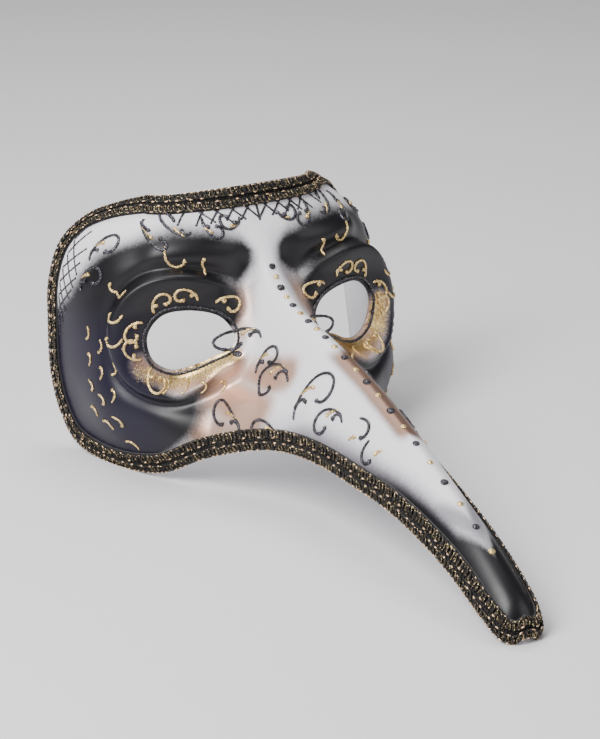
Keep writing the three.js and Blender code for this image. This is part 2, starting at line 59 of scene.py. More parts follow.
WALL = 1.5
SEAT_DEPTH = 0.4
EYE_LENGTH = 36.0
EYE_HEIGHT = 26.0
EYE_TURN = math.radians(33)
RING_HEIGHT = 4.8
RING_REACH = 9.9
SOCKET_DEPTH = 9.0
BRAID_WIDTH = 9.6
ROWS = 320
COLUMNS = 181

rng = np.random.default_rng(7)


def smooth(low, high, v):
    k = np.clip((v - low) / (high - low), 0, 1)
    return k * k * (3 - 2 * k)


def bell(v):
    return np.exp(-v * v)


def forward(share):
    return share * FACE_DEPTH if share <= 1 else FACE_DEPTH + (share - 1) * NOSE_LENGTH


def place(across, ahead, up):
    return np.array([across * MASK_WIDTH / 2, -forward(ahead), up * MASK_HEIGHT - SEAT_DEPTH])


def unit(v):
    return v / np.maximum(np.linalg.norm(v, axis=-1, keepdims=True), 1e-12)


# ---------------------------------------------------------------- hoops
# edge and ridge as [forward, up], shares of the nose's and the mask's half width, the face's
# share of the rise, half width of the nose bump, and the two exponents of the rounding
HOOPS = [
    ((1.993, 0.0), (2.0, 0.016), 0.28, 0, 1, 0.34, 2, 2),
    ((1.975, 0.012), (1.988, 0.09), 0.56, 0, 1, 0.34, 2, 2),
    ((1.928, 0.054), (1.947, 0.156), 0.7, 0, 1, 0.34, 1.9, 1.8),
    ((1.799, 0.148), (1.823, 0.268), 0.81, 0, 1, 0.34, 1.75, 1.5),
    ((1.636, 0.213), (1.67, 0.372), 0.95, 0, 1, 0.34, 1.7, 1.4),
    ((1.498, 0.236), (1.541, 0.451), 1.16, 0, 1, 0.47, 1.7, 1.4),
    ((1.373, 0.244), (1.421, 0.513), 1.16, 0.044, 0.88, 0.61, 1.8, 1.5),
    ((1.27, 0.228), (1.321, 0.554), 1.16, 0.104, 0.66, 0.74, 2, 1.8),
    ((1.187, 0.19), (1.234, 0.586), 1.16, 0.197, 0.48, 0.84, 2.1, 2.1),
    ((1.096, 0.12), (1.167, 0.604), 0.58, 0.452, 0.5, 0.84, 2.4, 2.4),
    ((1.0, 0.025), (1.115, 0.62), 0.23, 0.661, 0.62, 0.81, 2.7, 2.7),
    ((0.643, 0.0), (1.077, 0.637), 0, 0.847, 0.76, 0.71, 3, 3),
    ((0.329, 0.025), (1.048, 0.658), 0, 0.947, 0.84, 0.61, 3.1, 3.1),
    ((0.157, 0.124), (1.026, 0.683), 0, 0.987, 0.88, 0.54, 3.1, 3.1),
    ((0.057, 0.265), (1.005, 0.716), 0, 1, 0.9, 0.47, 2.9, 2.9),
    ((0.007, 0.439), (0.964, 0.757), 0, 0.987, 0.93, 0.41, 2.7, 2.7),
    ((-0.021, 0.588), (0.907, 0.811), 0, 0.965, 0.97, 0.37, 2.5, 2.5),
    ((-0.029, 0.727), (0.843, 0.869), 0, 0.885, 1, 0.37, 2.25, 2.25),
    ((0.057, 0.825), (0.793, 0.914), 0, 0.757, 1, 0.37, 2, 1.85),
    ((0.214, 0.885), (0.757, 0.952), 0, 0.63, 1, 0.37, 2, 1.6),
    ((0.414, 0.934), (0.729, 0.99), 0, 0.497, 1, 0.37, 2, 1.35),
]
hoops = np.array([
    (
        forward(edge[0]),
        edge[1] * MASK_HEIGHT - SEAT_DEPTH,
        forward(ridge[0]),
        ridge[1] * MASK_HEIGHT - SEAT_DEPTH,
        (nose * NOSE_WIDTH + face * MASK_WIDTH) / 2,
        base,
        bump * NOSE_WIDTH,
        across,
        up,
    )
    for edge, ridge, nose, face, base, bump, across, up in HOOPS
])
padded_hoops = np.vstack([2 * hoops[0] - hoops[1], hoops, 2 * hoops[-1] - hoops[-2]])


def hoop_at(t):
    """The hoop at t, 0 at the nose tip and 1 at the forehead."""
    last = len(hoops) - 1
    along = np.clip(t, 0, 1) * last
    i = np.minimum(along.astype(int), last - 1)
    k = (along - i)[..., None]
    a, b, c, d = (padded_hoops[i + n] for n in range(4))
    slope = (c - a) / 2
    bend = a - 2.5 * b + 2 * c - d / 2
    twist = (d - a) / 2 + 1.5 * (b - c)
    return b + k * (slope + k * (bend + k * twist))


def plain(t, q):
    """The surface without relief. q runs from -1 over the ridge to 1."""
    t, q = np.broadcast_arrays(np.asarray(t, float), np.asarray(q, float))
    h = hoop_at(t)
    half, base, bump, across, up = (h[..., n] for n in range(4, 9))
    turn = q * math.pi / 2
    x = half * np.abs(np.sin(turn)) ** (2 / across)
    face = base * np.maximum(np.cos(turn), 0) ** (2 / up)
    nose = np.where(x < bump, (1 - base) * (1 + np.cos(math.pi * np.minimum(x / bump, 1))) / 2, 0)
    rise = face + nose
    f = h[..., 0] + (h[..., 2] - h[..., 0]) * rise
    z = h[..., 1] + (h[..., 3] - h[..., 1]) * rise
    return np.stack([np.sign(q) * x, -f, z], -1)


def plain_normal(t, q):
    step = 1e-4
    along = plain(np.minimum(t + step, 1), q) - plain(np.maximum(t - step, 0), q)
    over = plain(t, np.minimum(q + step, 1)) - plain(t, np.maximum(q - step, -1))
    return unit(np.cross(over, along))


# ---------------------------------------------------------------- eye hole and relief
EYE_CENTRE = place(0.45, 0.87, 0.492)
EYE_POINTS = [
    (-1, 0.19),
    (-0.61, 0.77),
    (0.06, 1),
    (0.67, 0.85),
    (1, 0.19),
    (0.89, -0.62),
    (0.44, -1),
    (-0.06, -0.85),
    (-0.56, -0.5),
    (-0.94, -0.23),
]
EYE_OUT = np.array([math.cos(EYE_TURN), math.sin(EYE_TURN), 0])


def closed_curve(points, steps):
    """A smooth closed curve through the points."""
    p = np.array(points, float)
    k = (np.arange(steps) / steps)[:, None]
    out = []
    for i in range(len(p)):
        a, b, c, d = p[i - 1], p[i], p[(i + 1) % len(p)], p[(i + 2) % len(p)]
        out.append(b + k * ((c - a) / 2 + k * (a - 2.5 * b + 2 * c - d / 2
                                               + k * ((d - a) / 2 + 1.5 * (b - c)))))
    return np.vstack(out)


eye_outline = closed_curve(np.array(EYE_POINTS) * [EYE_LENGTH / 2, EYE_HEIGHT / 2], 12)


def eye_view(p):
    """The points as seen looking straight at the eye: outwards and up."""
    mirrored = np.concatenate([np.abs(p[..., :1]), p[..., 1:]], -1) - EYE_CENTRE
    return np.stack([mirrored @ EYE_OUT, mirrored[..., 2]], -1)


def eye_nearest(view):
    """Signed distance from the hole's outline, negative inside, and the outline's nearest point."""
    a = eye_outline
    side = np.roll(a, -1, 0) - a
    flat = view.reshape(-1, 2)
    to = flat[:, None, :] - a
    share = np.clip((to * side).sum(-1) / (side * side).sum(-1), 0, 1)
    foot = a + share[..., None] * side
    gaps = np.linalg.norm(flat[:, None, :] - foot, axis=-1)
    best = gaps.argmin(1)
    x, y = flat[:, :1], flat[:, 1:]
    b = a + side
    crosses = ((a[:, 1] > y) != (b[:, 1] > y)) & (
        x < a[:, 0] + (y - a[:, 1]) * side[:, 0] / np.where(side[:, 1] == 0, 1e-9, side[:, 1]))
    inside = crosses.sum(1) % 2 == 1
    rows = np.arange(len(flat))
    gap = np.where(inside, -gaps[rows, best], gaps[rows, best])
    return gap.reshape(view.shape[:-1]), foot[rows, best].reshape(view.shape)


def from_segment(p, start, end):
    """Distance of the points, on either side of the mask, from a segment."""
    half = np.concatenate([np.abs(p[..., :1]), p[..., 1:]], -1)
    side = end - start
    share = np.clip(((half - start) @ side) / max(side @ side, 1e-9), 0, 1)
    return np.linalg.norm(half - (start + share[..., None] * side), axis=-1)


# height, radius, start and end of each rounded swelling
SWELLINGS = [
    (5, 16, place(0.84, 0.714, 0.226), place(0.84, 0.714, 0.227)),  # cheekbone
    (3.2, 8, place(0.267, 0.943, 0.788), place(0.613, 0.786, 0.797)),  # brow
    (-1.5, 5, place(0.133, 0.943, 0.73), place(0.16, 0.971, 0.697)),
    (1.7, 4.5, place(0.347, 1.029, 0.412), place(0.2, 1.182, 0.429)),  # lid to nose
    (-1.1, 4.5, place(0.36, 1.048, 0.358), place(0.267, 1.163, 0.367)),
    (2.6, 9, place(0.36, 1.129, 0.3), place(0.293, 1.182, 0.317)),  # cheek pad
    (-1.8, 4.5, place(0.36, 1.048, 0.367), place(0.56, 1.105, 0.21)),  # fold
]


def relief(p):
    view = eye_view(p)
    distance = np.maximum(eye_nearest(view)[0], 0)
    angle = np.arctan2(view[..., 1] + 2.5, view[..., 0] - 3)
    aside = np.abs(p[..., 0]) / MASK_WIDTH
    reach = RING_REACH + 4.4 * np.cos(angle - 0.66)
    ring = (RING_HEIGHT + 1.7 * np.cos(angle - 0.52)) * smooth(0.06, 0.16, aside)
    inner = smooth(-0.15, 1, distance / reach)
    outer = 1 - smooth(0, 1, (distance - reach) / 4.5)
    height = ring * np.where(distance < reach, inner, outer)
    height -= 0.8 * bell((distance - reach - 5.5) / 2.2) * smooth(0.08, 0.17, aside)
    height -= SOCKET_DEPTH * smooth(0.04, 0.147, aside) * np.exp(
        -((view[..., 0] - 3) ** 2) / 400 - (view[..., 1] + 11.5) ** 2 / 196)
    for rise, radius, start, end in SWELLINGS:
        height += rise * bell(from_segment(p, start, end) / radius)
    return height


# ---------------------------------------------------------------- the skin grid
def arc(points):
    return np.concatenate([[0], np.cumsum(np.linalg.norm(np.diff(points, axis=0), axis=1))])


fine = np.linspace(0, 1, 801)
row_run = arc(plain(fine, 1.0)) + arc(plain(fine, 0.0))
row_t = np.interp(np.linspace(0, row_run[-1], ROWS), row_run, fine)
q_fine = np.linspace(-1, 1, 401)
column_q = np.empty((ROWS, COLUMNS))
for i, t in enumerate(row_t):
    run = arc(plain(t, q_fine))
    column_q[i] = np.interp(np.linspace(0, run[-1], COLUMNS), run, q_fine)
skin_points = plain(row_t[:, None], column_q)
skin_points = skin_points + plain_normal(row_t[:, None], column_q) * relief(skin_points)[..., None]
skin_normals = unit(np.cross(np.gradient(skin_points, axis=1), np.gradient(skin_points, axis=0)))
row_length = np.linalg.norm(np.diff(skin_points, axis=1), axis=-1).sum(1)


def between(grid, rc):
    """Bilinear value of a grid at fractional rows and columns."""
    r = np.clip(rc[..., 0], 0, ROWS - 1)
    c = np.clip(rc[..., 1], 0, COLUMNS - 1)
    i = np.minimum(r.astype(int), ROWS - 2)
    j = np.minimum(c.astype(int), COLUMNS - 2)
    u = (r - i)[..., None]
    v = (c - j)[..., None]
    return ((1 - u) * (1 - v) * grid[i, j] + (1 - u) * v * grid[i, j + 1]
            + u * (1 - v) * grid[i + 1, j] + u * v * grid[i + 1, j + 1])


def normal_at(rc):
    return unit(between(skin_normals, rc))


def skin(rc, lift=0.0):
    return between(skin_points, rc) + normal_at(rc) * np.asarray(lift)[..., None]


def walk(rc, step):
    """Moves grid places over the skin by steps in space."""
    r = np.clip(rc[..., 0], 0.5, ROWS - 1.5)
    c = np.clip(rc[..., 1], 0.5, COLUMNS - 1.5)
    a = between(skin_points, np.stack([r + 0.5, c], -1)) - between(
        skin_points, np.stack([r - 0.5, c], -1))
    o = between(skin_points, np.stack([r, c + 0.5], -1)) - between(
        skin_points, np.stack([r, c - 0.5], -1))
    aa, oo, ao = (a * a).sum(-1), (o * o).sum(-1), (a * o).sum(-1)
    sa, so = (step * a).sum(-1), (step * o).sum(-1)
    scale = aa * oo - ao * ao
    return rc + np.stack([(sa * oo - so * ao) / scale, (so * aa - sa * ao) / scale], -1)


# The CAD part's box gives where the temples are along Y.
low, high = (np.array(c) * 1000 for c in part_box("mask_shell"))
shift_y = (low[1] + high[1]) / 2 - (skin_points[..., 1].min() + skin_points[..., 1].max()) / 2


def make(name, points, faces, material, smooth_shading=True):
    """A mesh piece from points in mm, riding on the mask."""
    points = np.asarray(points, float).reshape(-1, 3).copy()
    points[:, 1] += shift_y
    points[:, 2] = np.maximum(points[:, 2], 0)
    mesh = bpy.data.meshes.new(name)
    mesh.from_pydata((points / 1000).tolist(), [], faces if isinstance(faces, list) else faces.tolist())
    mesh.update()
    for m in material if isinstance(material, (list, tuple)) else [material]:
        mesh.materials.append(m)
    mesh.polygons.foreach_set("use_smooth", [smooth_shading] * len(mesh.polygons))
    piece = bpy.data.objects.new(name, mesh)
    bpy.context.scene.collection.objects.link(piece)
    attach(piece, "root")
    return piece


# ---------------------------------------------------------------- materials
def material(name, rough=0.5, metal=0.0, colour=(0.5, 0.5, 0.5), coat=0.0):
    made = bpy.data.materials.new(name)
    made.use_nodes = True
    made.diffuse_color = (*colour, 1)
    nodes = made.node_tree.nodes
    shader = nodes["Principled BSDF"]
    shader.inputs["Base Color"].default_value = (*colour, 1)
    shader.inputs["Roughness"].default_value = rough
    shader.inputs["Metallic"].default_value = metal
    shader.inputs["Coat Weight"].default_value = coat
    shader.inputs["Coat Roughness"].default_value = 0.18
    shader.inputs["Specular IOR Level"].default_value = 0.4
    return made, nodes, made.node_tree.links, shader


def noise(nodes, links, vector, scale, detail=3.0, rough=0.5):
    node = nodes.new("ShaderNodeTexNoise")
    node.inputs["Scale"].default_value = scale
    node.inputs["Detail"].default_value = detail
    node.inputs["Roughness"].default_value = rough
    links.new(vector, node.inputs["Vector"])
    return node.outputs["Fac"]


def ramp(nodes, links, value, low, high, to_low=0.0, to_high=1.0):
    node = nodes.new("ShaderNodeMapRange")
    node.interpolation_type = "SMOOTHSTEP"
    for socket, v in zip(("From Min", "From Max", "To Min", "To Max"), (low, high, to_low, to_high)):
        node.inputs[socket].default_value = v
    links.new(value, node.inputs["Value"])
    return node.outputs["Result"]


def maths(nodes, links, kind, a, b):
    node = nodes.new("ShaderNodeMath")
    node.operation = kind
    for n, v in enumerate((a, b)):
        if isinstance(v, (int, float)):
            node.inputs[n].default_value = v
        else:
            links.new(v, node.inputs[n])
    return node.outputs[0]


def mix(nodes, links, fac, a, b):
    node = nodes.new("ShaderNodeMix")
    node.data_type = "RGBA"
    for socket, v in ((node.inputs[0], fac), (node.inputs[6], a), (node.inputs[7], b)):
        if isinstance(v, tuple):
            socket.default_value = (*v, 1)
        elif isinstance(v, (int, float)):
            socket.default_value = v
        else:
            links.new(v, socket)
    return node.outputs[2]


def bump(nodes, links, shader, height, strength, distance):
    node = nodes.new("ShaderNodeBump")
    node.inputs["Strength"].default_value = strength
    node.inputs["Distance"].default_value = distance
    links.new(height, node.inputs["Height"])
    links.new(node.outputs["Normal"], shader.inputs["Normal"])
    return node


def object_place(nodes):
    return nodes.new("ShaderNodeTexCoord").outputs["Object"]


def cells(nodes, links, vector, scale):
    """Random colour and distance of each glitter grain."""
    node = nodes.new("ShaderNodeTexVoronoi")
    node.inputs["Scale"].default_value = scale
    links.new(vector, node.inputs["Vector"])
    split = nodes.new("ShaderNodeSeparateColor")
    links.new(node.outputs["Color"], split.inputs["Color"])
    return split.outputs["Red"], split.outputs["Green"], node.outputs["Distance"]


BLACK = (0.006, 0.0055, 0.0075)
NIGHT = (0.008, 0.006, 0.019)
WHITE = (0.86, 0.83, 0.87)
# GREY and BROWN stand for airbrushed paint and also for painted shade
GREY = (0.12, 0.11, 0.135)
COPPER = (0.68, 0.4, 0.27)
BROWN = (0.21, 0.1, 0.05)


def attribute(nodes, name):
    node = nodes.new("ShaderNodeAttribute")
    node.attribute_name = name
    return node.outputs["Fac"]


def paint_and_shade_material():
    made, nodes, links, shader = material("shell_paint_and_shade", 0.3, 0.0, WHITE)
    at = object_place(nodes)
    grain = noise(nodes, links, at, 900, 2.0, 0.6)
    cloud = noise(nodes, links, at, 55, 4.0, 0.55)
    speck = maths(nodes, links, "ADD", maths(nodes, links, "MULTIPLY", grain, 0.2),
                  maths(nodes, links, "MULTIPLY", cloud, 0.16))

    def speckled(name, low=0.22, high=1.02):
        return ramp(nodes, links, maths(nodes, links, "ADD", attribute(nodes, name), speck), low, high)

    # the grey, brown and black masks hold airbrushed paint together with painted shade; black's lighter brow
    # crest is partly painted highlight
    grey = speckled("grey_paint_and_shade", 0.16, 1.16)
    copper = speckled("paint_copper")
    brown = speckled("brown_paint_and_shade")
    black = speckled("black_paint_shade_and_highlight")
    night = attribute(nodes, "paint_night")
    colour = mix(nodes, links, maths(nodes, links, "MULTIPLY", grey, 0.85), WHITE, GREY)
    colour = mix(nodes, links, maths(nodes, links, "MULTIPLY", copper, 0.9), colour, COPPER)
    colour = mix(nodes, links, maths(nodes, links, "MULTIPLY", brown, 0.92), colour, BROWN)
    dark = mix(nodes, links, night, BLACK, NIGHT)
    colour = mix(nodes, links, black, colour, dark)
    red, green, distance = cells(nodes, links, at, 2300)
    dense = maths(nodes, links, "SUBTRACT", attribute(nodes, "paint_gold"),
                  maths(nodes, links, "MULTIPLY", red, 0.75))
    glitter = ramp(nodes, links, dense, 0.0, 0.12)
    sparkle = mix(nodes, links, green, (0.45, 0.25, 0.07), (1.0, 0.78, 0.38))
    colour = mix(nodes, links, glitter, colour, sparkle)
    links.new(colour, shader.inputs["Base Color"])
    sheen = maths(nodes, links, "MULTIPLY", maths(nodes, links, "MAXIMUM", copper, brown), 0.55)
    sheen = maths(nodes, links, "MULTIPLY", sheen,
                  ramp(nodes, links, black, 0.0, 1.0, 1.0, 0.0))
    links.new(maths(nodes, links, "MAXIMUM", sheen, glitter), shader.inputs["Metallic"])
    rough = maths(nodes, links, "ADD", maths(nodes, links, "MULTIPLY", cloud, 0.16), 0.27)
    rough = maths(nodes, links, "ADD", rough, maths(nodes, links, "MULTIPLY", grain, 0.08))
    links.new(rough, shader.inputs["Roughness"])
    tiny = maths(nodes, links, "MULTIPLY", grain, 0.12)
    lumps = maths(nodes, links, "MULTIPLY", noise(nodes, links, at, 150, 3.0), 0.5)
    height = maths(nodes, links, "ADD", tiny, lumps)
    grains = maths(nodes, links, "MULTIPLY", glitter, maths(nodes, links, "SUBTRACT", 1.0, distance))
    height = maths(nodes, links, "ADD", height, maths(nodes, links, "MULTIPLY", grains, 0.9))
    node = bump(nodes, links, shader, height, 0.35, 0.0003)
    node.inputs["Filter Width"].default_value = 0.6
    return made


def inside_material():
    made, nodes, links, shader = material("shell_inside", 0.55, 0.0, (0.78, 0.77, 0.79))
    at = object_place(nodes)
    cloud = noise(nodes, links, at, 70, 5.0)
    colour = mix(nodes, links, cloud, (0.7, 0.69, 0.71), (0.82, 0.81, 0.83))
    links.new(colour, shader.inputs["Base Color"])
    bump(nodes, links, shader, noise(nodes, links, at, 420, 4.0), 0.35, 0.0004)
    return made


def glitter_material(name, dull, bright, metal, scale=2600.0, sparse=0.0):
    made, nodes, links, shader = material(name, 0.3, metal, dull, 0.3)
    at = object_place(nodes)
    red, green, distance = cells(nodes, links, at, scale)
    flash = ramp(nodes, links, red, sparse, min(sparse + 0.5, 1.0))
    links.new(mix(nodes, links, flash, dull, bright), shader.inputs["Base Color"])
    links.new(ramp(nodes, links, green, 0.0, 1.0, 0.16, 0.5), shader.inputs["Roughness"])
    if sparse:
        links.new(maths(nodes, links, "MULTIPLY", flash, metal), shader.inputs["Metallic"])
    height = maths(nodes, links, "SUBTRACT", red, maths(nodes, links, "MULTIPLY", distance, 0.6))
    bump(nodes, links, shader, height, 0.8, 0.00025)
    return made


def thread_material(name, dull, bright, low, high, rough=0.42):
    """Metallic thread wound with black: flecks of the bright colour over the dull one."""
    made, nodes, links, shader = material(name, rough, 0.0, dull)
    at = object_place(nodes)
    fleck = noise(nodes, links, at, 1900, 2.0, 0.7)
    patch = noise(nodes, links, at, 420, 2.0)
    both = maths(nodes, links, "ADD", maths(nodes, links, "MULTIPLY", fleck, 0.75),
                 maths(nodes, links, "MULTIPLY", patch, 0.25))
    shine = ramp(nodes, links, both, low, high)
    links.new(mix(nodes, links, shine, dull, bright), shader.inputs["Base Color"])
    links.new(maths(nodes, links, "MULTIPLY", shine, 0.9), shader.inputs["Metallic"])
    links.new(ramp(nodes, links, shine, 0.0, 1.0, 0.6, 0.26), shader.inputs["Roughness"])
    bump(nodes, links, shader, fleck, 0.6, 0.0002)
    return made


def cloth_material(name, colour, rough, scale):
    made, nodes, links, shader = material(name, rough, 0.0, colour)
    at = object_place(nodes)
    fuzz = noise(nodes, links, at, scale, 5.0, 0.7)
    lighter = tuple(min(1.0, 2.4 * c + 0.01) for c in colour)
    links.new(mix(nodes, links, fuzz, colour, lighter), shader.inputs["Base Color"])
    shader.inputs["Sheen Weight"].default_value = 0.3
    bump(nodes, links, shader, fuzz, 0.7, 0.0004)
    return made


PAINT_AND_SHADE = paint_and_shade_material()
INSIDE = inside_material()
BLACK_GLITTER = glitter_material("black_glitter", (0.006, 0.006, 0.008), (0.22, 0.2, 0.26), 0.8, 2600, 0.62)
GOLD_GLITTER = glitter_material("gold_glitter", (0.5, 0.3, 0.09), (1.0, 0.76, 0.36), 0.95)
BLACK_THREAD = thread_material("black_thread", (0.007, 0.006, 0.006), (0.95, 0.7, 0.34), 0.6, 0.65)
GOLD_THREAD = thread_material("gold_thread", (0.012, 0.009, 0.007), (1.0, 0.78, 0.42), 0.54, 0.6)
STITCH = thread_material("pink_gold_stitch", (0.3, 0.16, 0.08), (1.0, 0.72, 0.48), 0.36, 0.56)
BACKING = cloth_material("braid_backing", (0.006, 0.005, 0.006), 0.9, 1800)
FELT = cloth_material("felt", (0.012, 0.011, 0.012), 0.95, 900)
RIBBON = cloth_material("ribbon", (0.01, 0.01, 0.011), 0.5, 2400)


# ---------------------------------------------------------------- airbrushed paint, painted shade and painted highlight
def cloud(p, start, end, radius, soft, side=0):
    """A soft-edged stroke from start to end, on both sides or on one: airbrushed paint, and in some places
    painted shade and painted highlight.
    """
    start, end = np.array(start, float), np.array(end, float)
    start[1] *= -1
    end[1] *= -1
    near = 1 - smooth(radius - soft, radius + soft, from_segment(p, start, end))
    if side:
        near = near * smooth(-4, 1, side * p[..., 0])
    return near


def paint_and_shade_masks(p):
    """How much of each paint, painted shade and painted highlight lies at the points."""
    x, f, z = np.abs(p[..., 0]), -p[..., 1], p[..., 2]
    columns = np.arange(COLUMNS)
    share = np.minimum(columns, COLUMNS - 1 - columns) / (COLUMNS - 1)
    from_edge = share[None, :] * row_length[:, None]

    # temples, brows and goggle rings: everything in front of and below a line up the temple
    back_line = np.interp(z, [40, 50, 58, 70, 82, 94, 103], [-24, -8, 4, 16, 24, 31, 40])
    top_line = np.interp(x, [0, 12, 26, 38, 46, 60], [96, 101, 105, 105, 103, 98])
    temple = smooth(-11, 13, f - back_line) * (1 - smooth(-9, 7, z - top_line))
    ridge_free = np.interp(z, [60, 72, 80, 88, 94, 104], [17, 14, 10, 5, 4, 8])
    face = temple * smooth(-3, 6, x - ridge_free)
    # the fold beside the nose ends the dark cheek
    fold_line = np.interp(z, [0, 12, 27, 37, 47, 56], [58, 52, 43, 36, 27, 16])
    cheek_dark = smooth(-5, 6, x - fold_line) * (1 - smooth(92, 104, f))
    black = np.where(z < 58, np.minimum(face, np.maximum(cheek_dark, smooth(52, 60, z))), face)
    lid = cloud(p, (44, 69, 43), (23, 77, 51), 6, 5)
    outer_lid = cloud(p, (58, 62, 50), (46, 68, 42), 5, 6) * 0.7
    # lighter band along the brow crest near the bridge: lighter paint there, and painted highlight along the
    # crest
    crest_paint_and_highlight = cloud(p, (34, 62, 86), (12, 66, 79), 3, 7) * 0.55 * (1 - smooth(14, 40, x))
    far_glow = cloud(p, (59, 60, 57), (50, 66, 44), 6, 6, 1)
    black = black * (1 - lid) * (1 - outer_lid) * (1 - crest_paint_and_highlight) * (1 - far_glow)
    black = black * (1 - 0.9 * cloud(p, (20, 75, 56), (13, 90, 58), 7, 7))
    tip = smooth(-10, 8, f + 2.2 * x - 251)
    black = np.maximum(black, tip)
    # black along the nose's lower edge, deepening towards the tip: painted shade running into the black tip
    # paint
    black = np.maximum(black, smooth(130, 235, f) * (1 - smooth(9, 17, from_edge)))

    copper = np.maximum.reduce([
        lid,
        cloud(p, (28, 77, 48), (14, 110, 54), 7, 7),
        0.95 * cloud(p, (31, 80, 41), (28, 106, 38), 10, 9),
        0.7 * cloud(p, (42, 88, 26), (33, 106, 30), 9, 9),
        outer_lid * 1.3,
        far_glow,
        0.6 * cloud(p, (14, 69, 76), (17, 74, 60), 5, 7),
    ])
    copper = copper * (1 - smooth(108, 128, f))
    brown = np.maximum.reduce([
        # brown in the creases above and below the lid-to-nose crest: painted shade on the copper
        0.75 * cloud(p, (23, 80, 53), (14, 100, 57), 1.5, 4.5),
        0.6 * cloud(p, (30, 82, 45), (20, 100, 47), 1, 4.5),
        # brown along the fold: brown paint where the black cheek fades, and painted shade in the fold's
        # crease
        0.9 * cloud(p, (35, 77, 44), (46, 88, 24), 4, 7),
        cloud(p, (4, 134, 60), (4, 178, 54), 10, 5) * smooth(-7, -1, p[..., 0]),
        # brown in the hollow between the brow's inner end and the bridge: painted shade
        0.5 * cloud(p, (13, 68, 80), (16, 72, 66), 4, 6),
        0.6 * cloud(p, (60, 60, 50), (48, 67, 40), 3, 5),
    ])
    gold = np.maximum.reduce([
        cloud(p, (45, 67, 43), (22, 77, 53), 3.6, 2.8),
        cloud(p, (59, 60, 57), (57, 61, 50), 4.5, 3.5, 1),
        0.6 * cloud(p, (58, 63, 47), (45, 68, 42), 3, 3),
    ])
    on_nose = smooth(108, 140, f)
    # grey near the nose's lower edge, darker towards the tip: painted shade
    grey = on_nose * (0.85 + 0.15 * smooth(150, 210, f)) * (1 - smooth(9, 23, from_edge))
    grey = np.maximum(grey, 0.8 * (1 - smooth(2, 16, np.abs(f + 2.2 * x - 240))) * on_nose)
    # grey in the same hollow beside the bridge: painted shade
    grey = np.maximum(grey, 0.6 * cloud(p, (9, 66, 86), (13, 70, 72), 4, 7))
    grey = np.maximum(grey, 0.4 * cloud(p, (58, 28, 92), (68, 16, 70), 4, 9))
    # grey beside the cheek pad, towards the side of the nose: painted shade
    grey = np.maximum(grey, 0.5 * cloud(p, (28, 112, 34), (18, 132, 42), 3, 7))
    night = (1 - smooth(52, 80, z)) * smooth(48, 62, x)
    return {"black_paint_shade_and_highlight": black, "paint_copper": copper, "brown_paint_and_shade": brown,
            "paint_gold": gold, "grey_paint_and_shade": grey, "paint_night": night}


# ---------------------------------------------------------------- the shell
def build_shell():
    r, c = np.meshgrid(np.arange(ROWS, dtype=float), np.arange(COLUMNS, dtype=float), indexing="ij")
    rc = np.stack([r, c], -1)
    gap = eye_nearest(eye_view(skin_points))[0]
    gap[skin_points[..., 1] > EYE_CENTRE[1] + FACE_DEPTH / 4] = 50
    inside = gap < 0
    cell = ~(inside[:-1, :-1] & inside[1:, :-1] & inside[:-1, 1:] & inside[1:, 1:])
    used = np.zeros_like(inside)
    for di in (0, 1):
        for dj in (0, 1):
            used[di:ROWS - 1 + di, dj:COLUMNS - 1 + dj] |= cell
    moving = used & (inside | (gap < 0.35))
    places = rc[moving]
    sign = np.where(places[:, 1] < (COLUMNS - 1) / 2, -1.0, 1.0)[:, None]
    target = eye_nearest(eye_view(skin(places)))[1]
    for _ in range(10):
        off = target - eye_view(skin(places))
        step = off[:, :1] * EYE_OUT + off[:, 1:] * np.array([0, 0, 1.0])
        places = walk(places, step * np.concatenate([sign, np.ones((len(sign), 2))], 1))
    rc[moving] = places
    outer = skin(rc)
    inner = skin(rc, -WALL)
    count = ROWS * COLUMNS
    index = np.arange(count).reshape(ROWS, COLUMNS)
    a, b = index[:-1, :-1][cell], index[:-1, 1:][cell]
    d, e = index[1:, :-1][cell], index[1:, 1:][cell]
    top = np.stack([a, b, e, d], 1)
    bottom = np.stack([a, d, e, b], 1) + count
    sides = np.vstack([np.stack([a, b], 1), np.stack([b, e], 1), np.stack([e, d], 1), np.stack([d, a], 1)])
    keys = {(int(u), int(v)) for u, v in sides}
    rim = np.array([(v, u, u + count, v + count) for u, v in keys if (v, u) not in keys])
    faces = np.vstack([top, bottom, rim])
    points = np.concatenate([outer.reshape(-1, 3), inner.reshape(-1, 3)])
    seen = np.unique(faces)
    renumber = np.full(2 * count, -1)
    renumber[seen] = np.arange(len(seen))
    piece = make("painted_shell", points[seen], renumber[faces], [PAINT_AND_SHADE, INSIDE])
    painted = np.zeros(len(faces), int)
    painted[len(top):len(top) + len(bottom)] = 1
    rim_row = rim[:, 0] // COLUMNS
    rim_column = rim[:, 0] % COLUMNS
    on_edge = (rim_row == 0) | (rim_row == ROWS - 1) | (rim_column == 0) | (rim_column == COLUMNS - 1)
    painted[len(top) + len(bottom):] = on_edge
    piece.data.polygons.foreach_set("material_index", painted)
    masks = paint_and_shade_masks(skin_points)
    for name, mask in masks.items():
        layer = piece.data.attributes.new(name, "FLOAT", "POINT")
        both = np.concatenate([mask.reshape(-1), mask.reshape(-1)])
        layer.data.foreach_set("value", both[seen].astype(np.float32))
    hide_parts("mask_shell")
    return piece


build_shell()


